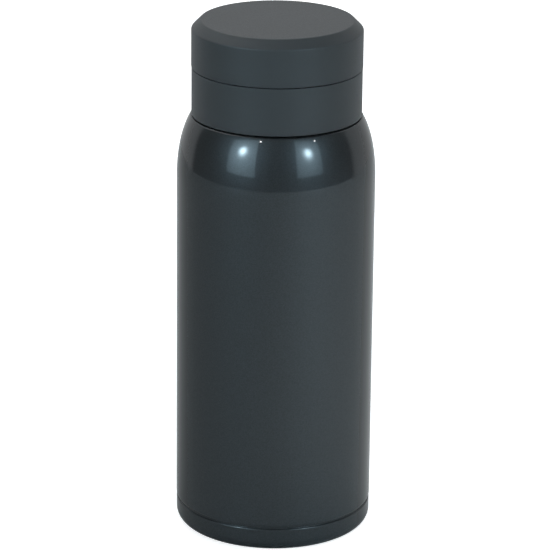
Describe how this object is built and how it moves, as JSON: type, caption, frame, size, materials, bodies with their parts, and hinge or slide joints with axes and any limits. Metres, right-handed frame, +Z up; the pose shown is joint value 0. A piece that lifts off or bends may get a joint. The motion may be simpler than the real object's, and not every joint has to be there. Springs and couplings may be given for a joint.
{
  "type": "vacuum flask",
  "caption": "Slim double-walled vacuum bottle with a screw-on spout ring and a screw cap holding an insulated stopper.",
  "frame": {"origin": "centre of the underside, at the height of the surface that the bottle stands on", "axes": "+Z up along the bottle's axis, from base to cap; X and Y are equal directions across it"},
  "size_m": [0.07, 0.07, 0.186],
  "materials": {
    "body_coating": "metallic dark grey lacquer, satin, polished at the shoulder",
    "base_coating": "metallic dark grey lacquer, satin",
    "bare_steel": "drawn stainless steel",
    "vessel_steel": "electropolished stainless steel",
    "reflector_foil": "copper foil",
    "getter_alloy": "pressed metal powder",
    "solder_glass": "fused glass bead",
    "pad_rubber": "fine matte rubber",
    "collar_plastic": "fine moulded texture",
    "cap_plastic": "fine moulded texture",
    "spout_plastic": "smooth moulded polypropylene",
    "seal_silicone": "translucent silicone",
    "insulating_foam": "expanded polystyrene"
  },
  "bodies": {
    "bottle": {"outer_shell": "body_coating", "outer_bottom": "bare_steel", "inner_vessel": "vessel_steel", "inner_bottom": "vessel_steel", "side_foil": "reflector_foil", "bottom_foil": "reflector_foil", "getter_cup": "bare_steel", "getter_pill": "getter_alloy", "seal_bead": "solder_glass", "seal_cover": "bare_steel", "base_cup": "base_coating", "base_pad": "pad_rubber"},
    "spout_seal": {"neck_gasket": "seal_silicone"},
    "spout": {"collar_shell": "collar_plastic", "mouthpiece": "spout_plastic"},
    "stopper_seal": {"stopper_gasket": "seal_silicone"},
    "cap": {"cap_shell": "cap_plastic", "cap_liner": "spout_plastic", "stopper_cup": "spout_plastic", "stopper_foam": "insulating_foam"}
  },
  "joints": [
    {"name": "spout_rise", "type": "slide", "parent": "bottle", "child": "spout_seal", "axis": [0, 0, 1], "range_m": [0, 0.014]},
    {"name": "spout_turn", "type": "hinge", "parent": "spout_seal", "child": "spout", "pos_m": [0, 0, 0.16], "axis": [0, 0, 1], "range_deg": [0, 630]},
    {"name": "cap_rise", "type": "slide", "parent": "spout", "child": "stopper_seal", "axis": [0, 0, 1], "range_m": [0, 0.024]},
    {"name": "cap_turn", "type": "hinge", "parent": "stopper_seal", "child": "cap", "pos_m": [0, 0, 0.175], "axis": [0, 0, 1], "range_deg": [0, 1080]}
  ],
  "couplings": [
    {"joint": "spout_rise", "follows": "spout_turn", "m_per_rad": 0.0012732},
    {"joint": "cap_rise", "follows": "cap_turn", "m_per_rad": 0.0012732}
  ]
}
